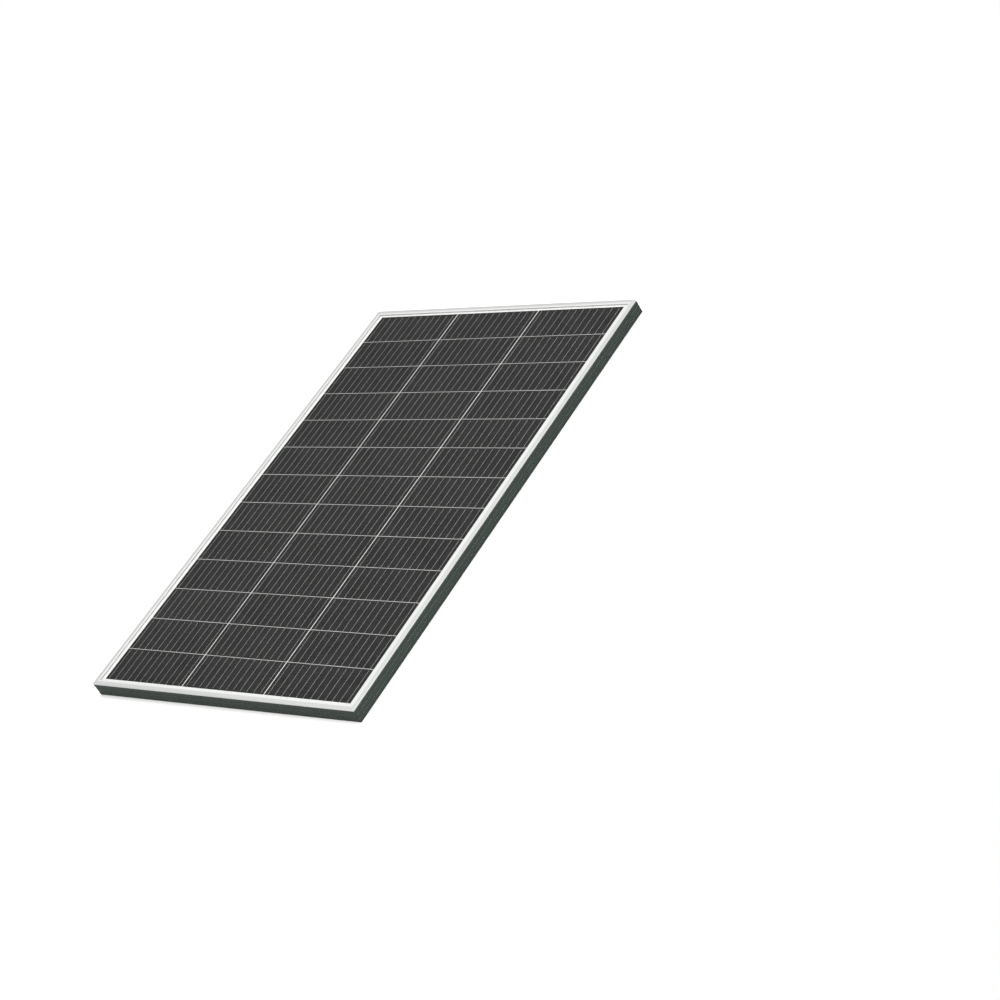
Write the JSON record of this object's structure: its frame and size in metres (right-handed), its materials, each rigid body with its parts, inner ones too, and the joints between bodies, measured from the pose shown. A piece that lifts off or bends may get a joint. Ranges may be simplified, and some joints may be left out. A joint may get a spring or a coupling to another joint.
{
  "type": "solar panel",
  "caption": "Rigid rectangular solar panel: framed glass laminate of dark cells with fine light busbars, with a lidded junction box and two cable glands on its back.",
  "frame": {"origin": "centre of the panel's footprint, on the plane that the frame's flanges rest on", "axes": "+X along the long side towards the end with the junction box, +Y across the width, +Z out of the glass"},
  "size_m": [1.04, 0.676, 0.03],
  "materials": {
    "glass": "toughened solar glass, lightly textured",
    "encapsulant": "clear film",
    "white_encapsulant": "white encapsulant behind the cells",
    "backsheet": "white laminated film",
    "silicon": "textured silicon wafer, charcoal, with fine grid fingers",
    "tinned_copper": "tinned copper strip",
    "insulation": "insulating film",
    "sealant": "cured silicone",
    "frame": "satin anodised, silver lip and grey-green side walls",
    "key_aluminium": "mill finish",
    "label": "blank polyester label",
    "box_plastic": "fine moulded texture",
    "lid_plastic": "fine moulded texture",
    "gasket": "foam rubber",
    "steel": "zinc plated",
    "terminal_brass": "plain brass",
    "diode": "moulded epoxy",
    "gland_plastic": "moulded nylon",
    "gland_rubber": "moulded rubber"
  },
  "bodies": {
    "panel": {"front_glass": "glass", "front_encapsulant": "encapsulant", "rear_encapsulant": "white_encapsulant", "backsheet": "backsheet", "cell_string_left": "silicon", "cell_string_centre": "silicon", "cell_string_right": "silicon", "ribbons_left": "tinned_copper", "ribbons_centre": "tinned_copper", "ribbons_right": "tinned_copper", "bus_strips_head": "tinned_copper", "bus_strips_foot": "tinned_copper", "lead_strips": "tinned_copper", "lead_insulation": "insulation", "lead_tabs": "tinned_copper", "edge_seals": "sealant", "rail_left": "frame", "rail_right": "frame", "rail_head": "frame", "rail_foot": "frame", "corner_keys": "key_aluminium", "rating_label": "label", "jbox_pad": "sealant", "jbox_base": "box_plastic", "jbox_hinge_pin": "steel", "terminal_positive": "terminal_brass", "terminal_middle": "terminal_brass", "terminal_negative": "terminal_brass", "bypass_diodes": "diode", "cable_clamps": "terminal_brass", "clamp_screws": "steel", "gland_body_positive": "gland_plastic", "gland_body_negative": "gland_plastic"},
    "junction_lid": {"jbox_lid": "lid_plastic", "jbox_gasket": "gasket"},
    "seal_positive": {"gland_seal_positive": "gland_rubber"},
    "nut_positive": {"gland_nut_positive": "gland_plastic"},
    "seal_negative": {"gland_seal_negative": "gland_rubber"},
    "nut_negative": {"gland_nut_negative": "gland_plastic"}
  },
  "joints": [
    {"name": "lid_hinge", "type": "hinge", "parent": "panel", "child": "junction_lid", "pos_m": [0.4714, 0, 0.0046], "axis": [0, -1, 0], "range_deg": [0, 100]},
    {"name": "seal_positive_slide", "type": "slide", "parent": "panel", "child": "seal_positive", "axis": [-1, 0, 0], "range_m": [0, 0.0045]},
    {"name": "nut_positive_turn", "type": "hinge", "parent": "seal_positive", "child": "nut_positive", "pos_m": [0.37, 0.028, 0.0124], "axis": [-1, 0, 0], "range_deg": [0, 1080]},
    {"name": "seal_negative_slide", "type": "slide", "parent": "panel", "child": "seal_negative", "axis": [-1, 0, 0], "range_m": [0, 0.0045]},
    {"name": "nut_negative_turn", "type": "hinge", "parent": "seal_negative", "child": "nut_negative", "pos_m": [0.37, -0.028, 0.0124], "axis": [-1, 0, 0], "range_deg": [0, 1080]}
  ],
  "couplings": [
    {"joint": "seal_positive_slide", "follows": "nut_positive_turn", "m_per_rad": 0.0002387},
    {"joint": "seal_negative_slide", "follows": "nut_negative_turn", "m_per_rad": 0.0002387}
  ]
}
